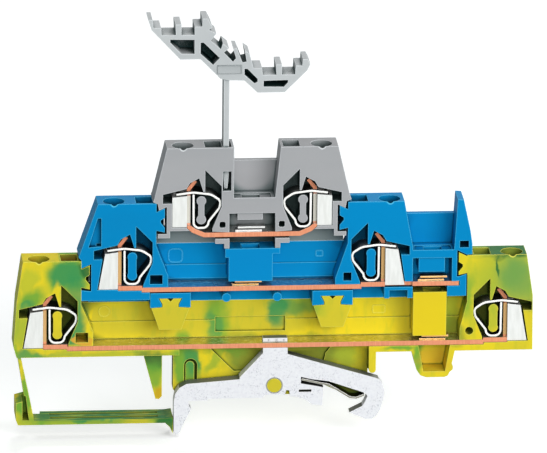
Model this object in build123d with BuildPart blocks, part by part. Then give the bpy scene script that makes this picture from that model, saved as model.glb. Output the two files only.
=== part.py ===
from build123d import *
import os
from dataclasses import dataclass
from math import cos, radians, sin

# Triple level terminal block, 6 mm wide, standing on a 35 mm top-hat rail.
# X runs along the wires, Y through the width (the open side is at -Y), Z up from the rail.
# The origin is the middle of the rail, on the top face of its flanges. All sizes in millimetres.

# Width and walls
block_width = 6.0
back_wall = 1.2
front = -block_width / 2
back = block_width / 2
wall_face = back - back_wall
shaft_wall = 0.5

# Decks: each level is the top of that deck's raised bar end
bottom_level = 12.55
middle_rise = 11.95
top_rise = 11.4
middle_level = bottom_level + middle_rise
top_level = middle_level + top_rise
middle_seam = middle_level - 4.7
top_seam = top_level - 4.1
rail_gap = 0.3

# Fits
clearance = 0.05
metal_inset = 0.1
metal_front = front + metal_inset
metal_back = wall_face - clearance

# Bars
bar_thickness = 0.95
bar_step = 0.4
upright_near = 0.1
upright_thickness = 0.7
upright_far = upright_near + upright_thickness
upright_side = 0.9
tongue_width = 2.2
tongue_middle = -0.35
step_place = 4.9
run_lap = 0.1

# Heads, in the frame of their clamp
head_height = 17.0
head_outer = -4.0
neck_inner = 6.9
neck_outer = 7.6
foot_inner = 5.1
foot_reach = 10.0
top_foot_reach = 8.45
foot_bottom = -bar_step + clearance
rim_top = -bar_step - bar_thickness - clearance
claw_web_reach = 1.85
bottom_rim = -2.6
middle_rim = -2.9

# Wire entry and screwdriver shaft
wire_hole_radius = 2.0
wire_tilt = 6.5
wire_mouth = -0.75
wire_hole_end = 8.5
throat_top = 8.65
funnel_length = 2.4
funnel_middle = -0.93
funnel_radius = 2.15
driver_near = 3.6
driver_front = front + shaft_wall

# Clamp springs
spring_thickness = 0.4
spring_front = front + 0.4
spring_back = wall_face - 0.1
spring_rail = 0.75

# Wire pockets
sheet = 0.45
pocket_edge = 0.05
pocket_front = front + 0.2
pocket_back = metal_back
entry_middle = (pocket_front + pocket_back) / 2

# Marker carrier
comb_depth = 5.6
stem_thickness = 1.1
stem_width = 4.0
stem_x = -10.45
stem_bottom = 44.2
slot_clearance = 0.08

# Rail foot
rail_width = 35.0
foot_thickness = 2.5
foot_front = metal_front
foot_back = foot_front + foot_thickness
lower_wall_face = foot_back + 0.1
pin_radius = 1.45
pin_x = -0.5
pin_z = 3.3
tab_left = -2.8
tab_right = 2.05
tab_inset = 0.6
tab_rise = 0.85
leaf_thickness = 0.4

# Jumper shafts and contacts
jumper_slot_length = 3.6
jumper_slot_width = 2.7
jumper_slot_front = front + 0.6
jumper_slot_back = jumper_slot_front + jumper_slot_width
upper_slot_left = -7.2
bay_slot_left = 29.1
guide_wall = 0.5
groove_depth = 0.3
groove_front = front + 0.45
groove_back = jumper_slot_back + 0.1
contact_sheet = 0.35
contact_gap = 0.3
contact_inset = 0.5
contact_depth = 1.8
contact_length = 5.8


@dataclass(frozen=True)
class Clamp:
    """One wire clamp: the outer face of its bar upright, its deck level and which way is inward."""

    name: str
    x: float
    level: float
    inward: int

    def spread(self, points):
        """Carries points from the clamp's own frame into the block's."""
        return [(self.x + self.inward * along, self.level + up) for along, up in points]


bottom_left = Clamp("bottom_left", -46.6, bottom_level, 1)
bottom_right = Clamp("bottom_right", 45.9, bottom_level, -1)
middle_left = Clamp("middle_left", -31.8, middle_level, 1)
middle_right = Clamp("middle_right", 21.4, middle_level, -1)
top_left = Clamp("top_left", -18.2, top_level, 1)
top_right = Clamp("top_right", 7.75, top_level, -1)
deck_clamps = [bottom_left, bottom_right, middle_left, middle_right]
top_clamps = [top_left, top_right]
all_clamps = deck_clamps + top_clamps


def raised(level, points):
    """Lifts an outline drawn from its deck's level into the block's frame."""
    return [(x, z + level) for x, z in points]


def slab(points, behind, ahead, mode=Mode.ADD):
    """Adds or cuts a plate with this outline between two depths, back to front."""
    with BuildSketch(Plane.XZ.offset(-behind)) as profile:
        with BuildLine():
            Polyline(*points, close=True)
        make_face()
    extrude(profile.sketch, amount=behind - ahead, mode=mode)


def block(left, right, low, high, behind, ahead, mode=Mode.ADD):
    """Adds or cuts an upright box between two depths."""
    slab([(left, low), (right, low), (right, high), (left, high)], behind, ahead, mode)


def peg(clamp, waist):
    """Adds the moulded peg inside a clamp spring: two lobes joined by a waist."""
    lobe = 0.95
    low = 2.05
    high = 5.9
    (x, low_z), (x, high_z) = clamp.spread([(2.9, low), (2.9, high)])
    with BuildSketch(Plane.XZ.offset(-wall_face)) as profile:
        with Locations((x, low_z), (x, high_z)):
            Circle(lobe)
        with Locations((x, (low_z + high_z) / 2)):
            Rectangle(waist, high - low)
    extrude(profile.sketch, amount=wall_face - front - 0.3)


def claw(clamp, reach, rise, drop):
    """Adds the two-toothed claw that the next deck up hooks over, with the web behind its teeth."""
    teeth = [(-0.2, 0.0), (0.0, 0.0), (1.65, 0.8), (1.65, -1.2), (0.85, -1.7), (0.85, -2.2)]
    teeth += [(1.65, -3.2), (1.65, -drop), (0.0, 0.4 - drop), (-0.2, 0.4 - drop)]
    slab(clamp.spread([(reach + x, rise + z) for x, z in teeth]), back, front)
    web = [(0.8, 0.3), (1.5, 0.6), (claw_web_reach, 0.6), (claw_web_reach, 0.25 - drop), (0.8, 0.3 - drop)]
    slab(clamp.spread([(reach + x, rise + z) for x, z in web]), back, wall_face)


def wire_entry(clamp, height):
    """Cuts the leaning wire hole with its funnel, and the throat that opens it into the chamber."""
    lean = radians(wire_tilt)
    (mouth_x, mouth_z), = clamp.spread([(wire_mouth, height)])
    up = (clamp.inward * sin(lean), 0, cos(lean))
    hole = Plane(origin=(mouth_x, entry_middle, mouth_z), x_dir=(0, 1, 0), z_dir=up)
    depth = (height - wire_hole_end) / cos(lean)
    with BuildSketch(hole.offset(1)) as bore:
        Circle(wire_hole_radius)
    extrude(bore.sketch, amount=-depth - 1, mode=Mode.SUBTRACT)
    rim = Plane(origin=(mouth_x, funnel_middle, mouth_z), x_dir=(0, 1, 0), z_dir=(0, 0, 1))
    with BuildSketch(rim) as mouth:
        Circle(funnel_radius)
    with BuildSketch(hole.offset(-funnel_length)) as narrow:
        Circle(wire_hole_radius)
    loft([mouth.sketch, narrow.sketch], mode=Mode.SUBTRACT)
    throat = [(-4.2, 7.0), (0.0, 7.0), (0.0, throat_top), (-4.2, throat_top)]
    slab(clamp.spread(throat), wall_face, front + 0.7, Mode.SUBTRACT)


def driver_shaft(clamp, height):
    """Cuts the rectangular screwdriver shaft from the top of a head down to the spring."""
    outline = [(driver_near, 8.0), (neck_inner, 8.0), (neck_inner, height + 1), (driver_near, height + 1)]
    slab(clamp.spread(outline), wall_face, driver_front, Mode.SUBTRACT)


# The chamber's upper edge: the small notch, the dividing wedge and the large notch
notch_edge = [(-4.75, 7.4), (-0.1, 8.5), (0.6, 9.7), (2.4, 10.7), (3.25, 7.9), (driver_near, 7.9)]
notch_edge += [(driver_near, 12.35), (neck_inner, 8.95), (neck_inner, 4.7), (foot_inner, 0.2)]
deck_chamber = notch_edge + [(foot_inner, 0.0), (pocket_edge, 0.0), (pocket_edge, -0.75)]
deck_chamber += [(-4.05, -0.75), (-3.05, 5.6), (-4.75, 5.6)]
open_chamber = notch_edge + [(foot_inner, -0.8), (-4.0, -0.8), (-3.05, 5.6), (-4.75, 5.6)]
top_chamber = notch_edge + [(foot_inner, -0.5), (0.95, -0.5), (pocket_edge, 0.35), (pocket_edge, 0.5)]
top_chamber += [(-2.95, 0.5), (-2.95, 5.5), (-4.75, 5.5)]


def fit_out(clamp, height, chamber, waist):
    """Cuts a head's chamber, wire hole and screwdriver shaft, and adds its peg."""
    slab(clamp.spread(chamber), wall_face, front, Mode.SUBTRACT)
    wire_entry(clamp, height)
    driver_shaft(clamp, height)
    peg(clamp, waist)


def jumper_slot(left, low, high):
    """Cuts the slot that a plug-in jumper's leg goes down."""
    block(left, left + jumper_slot_length, low, high, jumper_slot_back, jumper_slot_front, Mode.SUBTRACT)


def jumper_floor(left, low, high, groove_left, groove_right):
    """Cuts the slot through a pocket's floor and the shallow groove on either side of it."""
    jumper_slot(left, low, high + 1)
    block(groove_left, groove_right, high - groove_depth, high + 1, groove_back, groove_front, Mode.SUBTRACT)


def bar_room(clamp, end):
    """Cuts the room for a bar that leaves a head, out to `end` in the clamp's frame."""
    run_start = step_place - run_lap - clearance
    shelf = [(pocket_edge, clearance), (step_place + 0.2, clearance), (step_place + 0.2, foot_bottom)]
    shelf += [(end, foot_bottom), (end, rim_top), (run_start, rim_top)]
    shelf += [(run_start, -bar_thickness - clearance), (pocket_edge, -bar_thickness - clearance)]
    slab(clamp.spread(shelf), wall_face, front, Mode.SUBTRACT)


# Bottom housing
bottom_left_side = [(-5.2, bottom_rim), (-5.8, -0.4), (-5.2, 8.9)]
bottom_right_side = [(-5.0, bottom_rim), (-4.9, 8.7), (-4.2, 13.3)]
bottom_head = head_height + 0.25
bottom_right_reach = 8.3
bottom_right_neck = 8.2
deck_left = bottom_left.x + neck_outer
deck_right = bottom_right.x - neck_outer
lower_left = -20.5
lower_right = 19.7
rim_low = bottom_level + bottom_rim
rim_high = bottom_level + rim_top
lever_low = -4.1
lever_thickness = 0.9
lever_high = lever_low + lever_thickness
catch_left = 26.8
catch_right = 35.4

with BuildPart() as bottom_housing:
    slab(
        bottom_left.spread(
            bottom_left_side
            + [(head_outer, bottom_head), (neck_outer, bottom_head), (neck_outer, 8.2)]
            + [(foot_reach, 2.6), (foot_reach, bottom_rim)]
        ),
        back,
        front,
    )
    slab(
        bottom_right.spread(
            bottom_right_side
            + [(-3.6, bottom_head), (bottom_right_reach, bottom_head), (bottom_right_reach, 13.9)]
            + [(bottom_right_neck, 13.0), (bottom_right_neck, 7.6)]
            + [(foot_reach - 0.4, 2.0), (foot_reach - 0.4, bottom_rim)]
        ),
        back,
        front,
    )
    claw(bottom_left, neck_outer, 15.6, 4.2)
    claw(bottom_right, bottom_right_reach, 17.05, 3.9)
    # Panel between the heads, with its shallow steps
    block(deck_left, deck_right, rim_low, middle_seam, back, wall_face)
    block(deck_left, deck_right, bottom_level + foot_bottom, bottom_level + 3.2, wall_face, wall_face - 0.2)
    block(-12.0, 1.9, bottom_level + 0.75, bottom_level + 3.75, wall_face + 0.3, front, Mode.SUBTRACT)
    # Rims under the bar
    block(deck_left, lower_left + 1, rim_low, rim_high, back, front)
    block(lower_right - 1, deck_right, rim_low, rim_high, back, front)
    # Dovetails that carry the middle deck
    for middle in (-21.3, 10.9):
        dovetail = [(-2.2, 1.95), (-0.6, 1.95), (0.0, 1.3), (0.6, 1.95), (2.2, 1.95), (1.6, 0.8)]
        dovetail += [(1.6, 0.15), (3.8, 0.0), (2.2, -4.5), (-2.2, -4.5), (-3.8, 0.0), (-1.6, 0.15), (-1.6, 0.8)]
        slab([(middle + x, middle_seam + z) for x, z in dovetail], wall_face, metal_front)
    # Wall behind the rail foot, with the tongue, the end rib and the pivot pin
    lower_wall = [(lower_left, rim_high), (lower_left, 2.0), (-19.6, 1.1), (-17.6, rail_gap + 0.3)]
    lower_wall += [(3.2, rail_gap + 0.3), (4.6, 2.4), (9.3, 2.6), (14.0, rail_gap), (17.2, rail_gap)]
    lower_wall += [(lower_right - 1.4, 1.4), (lower_right - 1.4, 5.7), (lower_right, 5.7), (lower_right, rim_high)]
    slab(lower_wall, back, lower_wall_face)
    hollow = [(-13.8, rim_high), (-8.4, 5.6), (9.2, 6.0), (9.9, 9.1), (11.5, rim_high)]
    slab(hollow, lower_wall_face + 0.5, front, Mode.SUBTRACT)
    block(lower_right - 1.4, lower_right, 6.3, rim_high, lower_wall_face, front)
    with BuildSketch(Plane.XZ.offset(-lower_wall_face)) as rib_end:
        with Locations((lower_right - 0.7, 6.3)):
            Circle(0.7)
    extrude(rib_end.sketch, amount=lower_wall_face - front)
    with BuildSketch(Plane.XZ.offset(-lower_wall_face - 1.2)) as tongue_groove:
        with Locations((-17.0, 4.2)):
            Rectangle(2.6, 5.6)
        with Locations((-17.0, 7.0)):
            Circle(1.3)
        with Locations((-17.15, 4.2)):
            Rectangle(1.75, 5.6, mode=Mode.SUBTRACT)
        with Locations((-17.15, 7.0)):
            Circle(0.875, mode=Mode.SUBTRACT)
    extrude(tongue_groove.sketch, amount=1.2, mode=Mode.SUBTRACT)
    with BuildSketch(Plane.XZ.offset(-lower_wall_face)) as pin:
        with Locations((pin_x, pin_z)):
            Circle(pin_radius)
    extrude(pin.sketch, amount=lower_wall_face - foot_front)
    # Release lever: a thin strip, a screwdriver pocket, the springy bar and its wedge
    strip = [(-51.6, rim_low + 0.3), (-50.9, rim_low), (-48.5, -1.8), (-48.1, lever_low), (-49.3, lever_low)]
    slab(strip, back, front)
    pocket = [(-51.9, 0.5), (-49.5, 1.15), (-48.8, -1.8), (-48.3, lever_low), (-51.5, lever_low), (-51.9, -3.0)]
    slab(pocket, back, front)
    slab([(-50.6, 2.0), (-49.95, 2.0), (-49.3, -3.1), (-50.6, -3.1)], wall_face, front, Mode.SUBTRACT)
    block(-48.8, -21.5, lever_low, lever_high, back, front)
    block(-48.8, -46.8, lever_low - 1, lever_high + 1, back + 1, back - 1.5, Mode.SUBTRACT)
    for groove in (-1.2, 1.2):
        block(-45.0, -23.5, lever_high - 0.25, lever_high + 1, groove + 0.4, groove - 0.4, Mode.SUBTRACT)
    slab([(-22.2, lever_low), (-22.2, lever_high), (-20.65, -3.0), (-20.65, -6.4), (-21.3, -5.0)], back, front)
    # Stop finger
    finger = [(-26.6, rim_low + 0.1), (-22.8, rim_low + 0.1), (-22.8, 1.1), (-23.4, 0.5), (-24.1, 0.6)]
    slab(finger, back, front + 1.2)
    # Catch pocket under the right end of the deck
    catch = [(catch_left, rim_high), (catch_left, rim_low), (27.8, 6.1), (28.6, 4.9), (29.8, 4.5), (33.4, 4.5)]
    catch += [(34.1, 4.8), (34.4, 5.5), (35.0, 6.0), (35.1, 6.6), (34.8, 7.1), (catch_right, rim_low)]
    slab(catch + [(catch_right, rim_high)], back, front)
    slab([(27.9, rim_high + 1), (29.2, 5.7), (33.5, 5.7), (34.6, rim_high + 1)], wall_face, front, Mode.SUBTRACT)
    # Windows through the feet of the heads
    block(*[p[0] for p in bottom_left.spread([(6.5, 0), (9.0, 0)])], bottom_level + 0.4, bottom_level + 2.4,
          wall_face, front, Mode.SUBTRACT)
    with BuildSketch(Plane.XZ.offset(-wall_face)) as eye:
        with Locations(bottom_right.spread([(7.7, 1.5)])[0]):
            Circle(0.8)
    extrude(eye.sketch, amount=wall_face - front, mode=Mode.SUBTRACT)
    for clamp in (bottom_left, bottom_right):
        fit_out(clamp, bottom_head, deck_chamber, 1.65)
        bar_room(clamp, foot_reach + 2)

# Middle housing
middle_left_side = [(-7.2, middle_rim), (-7.2, 5.45), (-7.75, 6.1)]
corner_window_depth = 1.0
bay_left = 25.5
bay_right = 35.6
hook_right = 37.5
bay_guide_left = bay_slot_left - 1.1
bay_guide_right = bay_slot_left + jumper_slot_length + guide_wall
bay_top = middle_level + 12.7
shelf_top = middle_level + 6.5
shelf_low = middle_level + 4.85
middle_deck_left = middle_left.x + neck_outer
middle_deck_right = middle_right.x - neck_outer

with BuildPart() as middle_housing:
    slab(
        middle_left.spread(
            middle_left_side
            + [(head_outer, head_height), (neck_outer, head_height), (neck_outer, 8.2), (foot_reach, 2.0)]
            + [(foot_reach, foot_bottom), (6.4, foot_bottom), (6.4, middle_rim)]
        ),
        back,
        front,
    )
    slab(
        middle_right.spread(
            [(-5.4, clearance), (-5.4, 7.2), (-4.6, 11.3), (-3.6, head_height - 0.3)]
            + [(neck_outer, head_height - 0.3), (neck_outer, 8.2), (foot_reach, 1.0), (foot_reach, foot_bottom)]
            + [(foot_inner, foot_bottom), (foot_inner, clearance)]
        ),
        back,
        front,
    )
    claw(middle_left, neck_outer, 15.2, 4.2)
    claw(middle_right, neck_outer, 15.2, 4.2)
    # Panel, from the seam with the bottom housing to the seam with the top housing
    block(middle_left.x - 5.5, bay_right, middle_seam, middle_level + 3.0, back, wall_face)
    block(middle_deck_left, middle_deck_right, middle_seam, top_seam, back, wall_face)
    block(bay_right - 1.0, hook_right, middle_seam, middle_level - 3.0, back, wall_face)
    block(middle_deck_left, middle_deck_right, middle_level, middle_level + 2.9, wall_face, wall_face - 0.2)
    # Brackets over the dovetails
    for middle in (-21.3, 10.9):
        bracket = [(-4.0, 0.1), (-4.0, 3.1), (4.0, 3.1), (4.0, 0.1), (1.75, 0.25), (1.75, 0.85), (2.4, 2.05)]
        bracket += [(-2.4, 2.05), (-1.75, 0.85), (-1.75, 0.25)]
        slab([(middle + x, middle_seam + z) for x, z in bracket], back, front)
    # Round bosses and the arch under the right head
    with BuildSketch(Plane.XZ.offset(-wall_face)) as bosses:
        with Locations((-10.2, middle_seam + 2.0), (-0.1, middle_seam + 2.0)):
            Circle(0.87)
    extrude(bosses.sketch, amount=wall_face - front)
    arch = [(-5.4, -3.4), (-5.4, -1.1), (0.2, -1.1), (0.2, -3.4), (-0.8, -3.4), (-0.8, -1.75), (-4.4, -1.75), (-4.4, -3.4)]
    slab(middle_right.spread(arch), back, front)
    # Jumper bay on the right: floor shelf, end wall, window, fin and hook
    block(bay_left, bay_right, middle_level + 2.0, bay_top, back, wall_face)
    block(bay_left, bay_right, shelf_low, shelf_top, back, front)
    block(bay_right - 1.0, bay_right, middle_level - 0.1 + clearance, shelf_top, back, front)
    block(bay_guide_left, bay_guide_right, middle_level + 1.9, shelf_low, wall_face, front + 0.3)
    fin = [(bay_right - 0.6, 6.5), (bay_right, 16.9), (36.8, 16.8), (38.2, 10.4), (38.6, 7.7), (38.6, 5.5)]
    slab(raised(middle_level, fin + [(37.6, 5.4), (36.2, 6.1), (bay_right, 6.4)]), back, front)
    block(36.1, 37.9, middle_level + 6.9, middle_level + 8.3, wall_face, front, Mode.SUBTRACT)
    hook = [(bay_right - 0.6, 1.6), (bay_right, 0.9), (36.0, 0.9), (hook_right, 1.4), (hook_right, -3.1), (33.7, -3.1)]
    hook += [(33.7, -1.0), (36.15, -1.0), (36.15, 0.0), (bay_right - 0.6, 0.0)]
    slab(raised(middle_level, hook), back, front)
    # Openings in the left head: the claw's room, the corner window and the foot window
    claw_room = [(-2.0, 0.15), (0.0, 0.15), (1.95, 1.05), (1.95, -4.6), (-2.0, -4.2)]
    slab(bottom_left.spread([(neck_outer + x, 15.6 + z) for x, z in claw_room]), back + 1, front, Mode.SUBTRACT)
    corner = middle_left.spread([(-4.0, 14.1), (-3.3, 14.1), (-3.3, 8.3), (-5.8, 8.1)])
    slab(corner, front + corner_window_depth, front, Mode.SUBTRACT)
    slab(middle_left.spread([(6.4, 0.3), (8.9, 0.3), (8.9, 2.2), (6.4, 2.2)]), wall_face, front, Mode.SUBTRACT)
    slab(middle_right.spread([(6.8, 0.4), (8.4, 0.4), (8.4, 2.1), (6.8, 2.1)]), wall_face, front, Mode.SUBTRACT)
    # Jumper slot through the bay's floor and its guide, with the shallow groove
    jumper_floor(bay_slot_left, middle_level + 1, shelf_top, 27.3, bay_right - 1.1)
    fit_out(middle_left, head_height, deck_chamber, 1.65)
    fit_out(middle_right, head_height - 0.3, open_chamber, 1.65)
    bar_room(middle_left, foot_reach + 2)

# Top housing
stem_reach = 9.3
web_left = top_left.x + top_foot_reach
web_right = top_right.x - top_foot_reach + 0.15
pocket_right = top_right.x - neck_inner
upper_guide_left = upper_slot_left - 0.9
upper_guide_right = upper_slot_left + jumper_slot_length + guide_wall
web_low = top_level + 3.3
web_high = top_level + 6.5
pocket_top = top_level + 12.9
stem_front = -stem_width / 2 - 0.3
stem_back = stem_front + stem_width

with BuildPart() as top_housing:
    top_outer = [(-3.3, -1.6), (-5.7, -1.6), (-5.7, -0.75), (-3.95, -0.75), (-3.95, 4.85), (-5.5, 4.15)]
    top_outer += [(-5.75, 5.5), (-6.7, 5.9), (-6.5, 6.3), (head_outer, head_height - 0.1)]
    top_under = [(foot_inner, foot_bottom), (foot_inner, -0.15), (-3.3, -0.15)]
    slab(
        top_left.spread(
            top_outer
            + [(stem_reach, head_height - 0.1), (stem_reach, 6.5), (top_foot_reach, 6.5)]
            + [(top_foot_reach, foot_bottom - 0.2)]
            + top_under
        ),
        back,
        front,
    )
    slab(
        top_right.spread(
            top_outer
            + [(neck_outer - 0.2, head_height - 0.1), (top_foot_reach, 6.5), (top_foot_reach - 0.1, foot_bottom - 0.2)]
            + top_under
        ),
        back,
        front,
    )
    # Panel, from the seam up behind both heads and the jumper pocket
    block(top_left.x - 5.6, top_right.x + 5.6, top_seam, top_level - 0.75, back, wall_face)
    block(top_left.x - 3.9, top_right.x + 3.9, top_level - 1.0, web_high, back, wall_face)
    block(web_left, pocket_right, web_low, pocket_top, back, wall_face)
    block(web_left, web_right, web_low, web_high, back, front)
    block(upper_guide_left, upper_guide_right, web_low - 1.45, web_low, wall_face, front + 0.4)
    # Hooks that hold the middle deck's shaft block
    for edge, way in ((web_left + 0.05, 1), (web_right - 0.05, -1)):
        hook = [(0.0, -1.9), (0.0, -3.9), (-1.0, -3.9), (-1.0, -2.9), (-2.8, -2.9), (-2.8, -1.9)]
        slab([(edge + way * x, top_level + z) for x, z in hook], back, front)
    jumper_floor(upper_slot_left, web_low - 2, web_high, web_left + 0.45, web_right - 0.85)
    # Slot for the marker carrier's stem, and its window
    stem_left = stem_x - stem_thickness / 2 - 0.1
    stem_right = stem_x + stem_thickness / 2 + 0.5
    block(stem_left, stem_right, stem_bottom - 0.3, top_level + head_height + 1,
          stem_back + slot_clearance, stem_front - slot_clearance, Mode.SUBTRACT)
    block(stem_left, stem_right, stem_bottom - 0.3, top_level + 12.0, 0, front, Mode.SUBTRACT)
    for clamp in top_clamps:
        with BuildSketch(Plane.XZ.offset(-wall_face)) as eye:
            with Locations(clamp.spread([(7.1, 1.0)])[0]):
                RectangleRounded(1.2, 1.25, 0.35)
        extrude(eye.sketch, amount=wall_face - front, mode=Mode.SUBTRACT)
        fit_out(clamp, head_height - 0.1, top_chamber, 1.2)

# Marker carrier: a comb of ribs and windows on one flat stem
with BuildPart() as marker_carrier:
    comb = [(-25.4, 77.1), (-26.1, 79.2), (-25.2, 79.2), (-25.0, 77.5), (-23.5, 77.5), (-23.4, 76.0)]
    comb += [(-20.6, 76.0), (-20.7, 78.2), (-19.5, 78.2), (-19.5, 76.0), (-16.9, 76.0), (-16.9, 77.7)]
    comb += [(-15.4, 77.7), (-15.4, 79.3), (-14.3, 79.3), (-13.4, 77.5), (-14.1, 77.0), (-12.6, 76.2)]
    comb += [(-13.7, 74.8), (-11.7, 73.0), (-11.3, 74.2), (-10.1, 73.2), (-11.1, 72.3), (-9.3, 70.4)]
    comb += [(-8.7, 71.1), (-9.3, 73.1), (-8.5, 73.1), (-7.4, 70.2), (-6.6, 70.4), (-7.0, 72.7), (-6.0, 72.0)]
    comb += [(-5.2, 69.0), (-3.5, 69.0), (-3.4, 67.6), (-0.7, 67.6), (-0.8, 69.7), (0.4, 69.7), (0.4, 67.6)]
    comb += [(3.0, 67.6), (3.1, 69.4), (4.4, 69.4), (4.5, 70.7), (5.5, 70.7), (6.0, 69.7), (5.4, 68.4)]
    comb += [(1.0, 64.0), (-4.4, 64.0), (-7.0, 66.5), (-9.9, 66.6), (-11.7, 66.9), (-15.7, 71.0), (-19.7, 71.0)]
    slab(comb, comb_depth / 2, -comb_depth / 2)
    windows = [
        [(-21.7, 75.1), (-16.9, 75.0), (-16.9, 72.1), (-19.5, 72.2), (-21.7, 74.5)],
        [(-15.7, 74.4), (-15.1, 74.4), (-11.9, 71.2), (-13.2, 69.8), (-15.7, 72.1)],
        [(-7.0, 68.9), (-6.4, 68.9), (-4.4, 66.8), (-4.4, 66.2), (-5.0, 65.9), (-7.0, 67.7)],
        [(-3.2, 66.4), (1.6, 66.5), (1.6, 66.0), (0.8, 65.1), (-3.2, 65.2)],
    ]
    for window in windows:
        slab(window, comb_depth / 2 - 0.8, -comb_depth / 2, Mode.SUBTRACT)
    stem_half = stem_thickness / 2
    stem = [(stem_x - stem_half, 67.5), (stem_x - stem_half, 47.0), (stem_x - 0.3, stem_bottom)]
    stem += [(stem_x + 0.3, stem_bottom), (stem_x + stem_half, 47.0), (stem_x + stem_half, 67.5)]
    slab(stem, stem_back, stem_front)

# Rail foot: one stamped steel plate with its tab riveted up through the bottom bar
bar_top = bottom_level - bar_step
with BuildPart() as rail_foot:
    foot = [(tab_left, bar_top - bar_thickness - clearance), (tab_right, bar_top - bar_thickness - clearance)]
    foot += [(2.1, 9.8), (19.1, 4.7), (20.3, 4.3), (21.1, 3.2), (21.5, 1.8), (21.3, 0.1), (20.7, -2.0)]
    foot += [(19.9, -3.4), (19.1, -4.0), (17.7, -4.0), (14.5, -2.6), (17.1, -1.3), (17.6, -0.5), (18.1, 0.7)]
    foot += [(17.7, 1.4), (10.3, 4.0), (6.8, 4.5), (4.8, 5.0), (4.8, 3.6), (8.3, 2.95), (9.3, 2.7), (9.1, -1.1)]
    foot += [(7.0, -0.8), (5.8, 0.2), (3.8, 0.9), (2.7, 0.95), (2.5, 2.2), (1.9, 2.3), (1.6, 1.3), (-2.2, 1.4)]
    foot += [(-2.8, 0.75), (-13.7, 0.75), (-13.7, 0.4), (-17.5, 0.35), (-17.5, -0.8), (-17.0, -1.3)]
    foot += [(-18.9, -5.2), (-19.1, -6.0), (-19.9, -6.7), (-20.5, -6.2), (-20.5, 0.4), (-20.2, 1.9), (-19.4, 3.1)]
    foot += [(-18.0, 3.9), (-7.4, 4.7), (-7.4, 5.1), (-2.8, 10.1)]
    slab(foot, foot_back, foot_front)
    block(tab_left, tab_right, bar_top - 2.0, bar_top + tab_rise, foot_back, foot_front + tab_inset)
    with BuildSketch(Plane.XZ.offset(-foot_back)) as pin_hole:
        with Locations((pin_x, pin_z)):
            Circle(pin_radius + clearance)
    extrude(pin_hole.sketch, amount=foot_thickness, mode=Mode.SUBTRACT)
    block(4.4, 6.9, 1.85, 2.35, foot_back, foot_front, Mode.SUBTRACT)

with BuildPart() as foot_leaf_spring:
    with BuildSketch(Plane.XZ.offset(-foot_back)):
        with BuildLine():
            leaf = FilletPolyline(
                (5.1, 4.45), (8.9, 3.55), (10.3, 3.3), (14.6, 0.55), (15.8, 0.4), (17.3, 0.95), radius=0.6
            )
            offset(leaf, amount=leaf_thickness / 2, side=Side.BOTH)
        make_face()
    extrude(amount=foot_thickness)

# Bars: the main run, a raised end at each clamp, the upright and its bent tongue
tongue = [(upright_near, 6.9), (upright_far, 6.9), (upright_far, 7.8), (2.1, 9.5), (1.55, 9.9), (upright_near, 8.1)]
tongue_front = tongue_middle - tongue_width / 2
tongue_back = tongue_middle + tongue_width / 2


def bar_end(clamp):
    """Adds a deck bar's raised end, its upright and its tongue."""
    x_range = [(upright_near, 0.0), (step_place, -bar_thickness)]
    (near, high), (far, low) = clamp.spread(x_range)
    block(near, far, low, high, metal_back, metal_front)
    upright = [(upright_near, -0.2), (upright_far, -0.2), (upright_far, 6.9), (upright_near, 6.9)]
    slab(clamp.spread(upright), metal_back - upright_side, metal_front + upright_side)
    slab(clamp.spread(tongue), tongue_back, tongue_front)


def bar_run(level, left, right):
    """Adds the straight run of a bar between two clamps."""
    block(left, right, level - bar_step - bar_thickness, level - bar_step, metal_back, metal_front)


with BuildPart() as bottom_busbar:
    bar_run(bottom_level, bottom_left.x + step_place - run_lap, bottom_right.x - step_place + run_lap)
    for clamp in (bottom_left, bottom_right):
        bar_end(clamp)
    block(tab_left - clearance, tab_right + clearance, 0, bar_top + 1,
          foot_back + clearance, foot_front + tab_inset - clearance, Mode.SUBTRACT)

bay_bar_end = 36.0
with BuildPart() as middle_busbar:
    bar_run(middle_level, middle_left.x + step_place - run_lap, middle_right.x - step_place + run_lap)
    for clamp in (middle_left, middle_right):
        bar_end(clamp)
    neck_left = middle_right.x - upright_far
    neck_right = middle_right.x + 5.5
    block(neck_left, neck_right, middle_level - bar_thickness, middle_level - clearance,
          pocket_back - sheet - 0.1, pocket_front + sheet + 0.1)
    block(neck_right - 0.1, bay_bar_end, middle_level - bar_thickness, middle_level - clearance,
          metal_back, metal_front)

with BuildPart() as top_busbar:
    bar_run(top_level - 0.2, top_left.x + 3.4, top_right.x - 3.4)
    for clamp in top_clamps:
        sweep_up = [(3.6, -0.6), (1.7, 0.25), (upright_far, 0.9), (upright_near, 0.9), (upright_near, 0.4)]
        sweep_up += [(1.1, -0.55), (3.4, -1.55)]
        slab(clamp.spread(sweep_up), metal_back, metal_front)
        slab(clamp.spread([(upright_near, 0.8), (upright_far, 0.8), (upright_far, 6.9), (upright_near, 6.9)]),
             metal_back - upright_side, metal_front + upright_side)
        slab(clamp.spread(tongue), tongue_back, tongue_front)


def clamp_spring(clamp):
    """Adds one bent strip spring with the window in its arm that the tongue and the wire pass."""
    path = clamp.spread(
        [(-1.85, 7.25), (1.3, 7.65), (4.8, 7.2), (6.75, 5.9), (6.5, 4.4), (4.35, 1.6), (4.25, 0.3)]
        + [(1.4, 0.3), (1.35, 7.05)]
    )
    with BuildSketch(Plane.XZ.offset(-spring_back)) as profile:
        with BuildLine():
            strip = FilletPolyline(*path, radius=[5.0, 3.0, 1.1, 1.3, 0.8, 1.15, 1.15])
            offset(strip, amount=spring_thickness / 2, side=Side.BOTH)
        make_face()
    extrude(profile.sketch, amount=spring_back - spring_front)
    window = clamp.spread([(-1.35, 6.9), (1.1, 7.2), (1.1, 8.3), (-1.35, 8.3)])
    slab(window, spring_back - spring_rail, spring_front + spring_rail, Mode.SUBTRACT)


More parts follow.
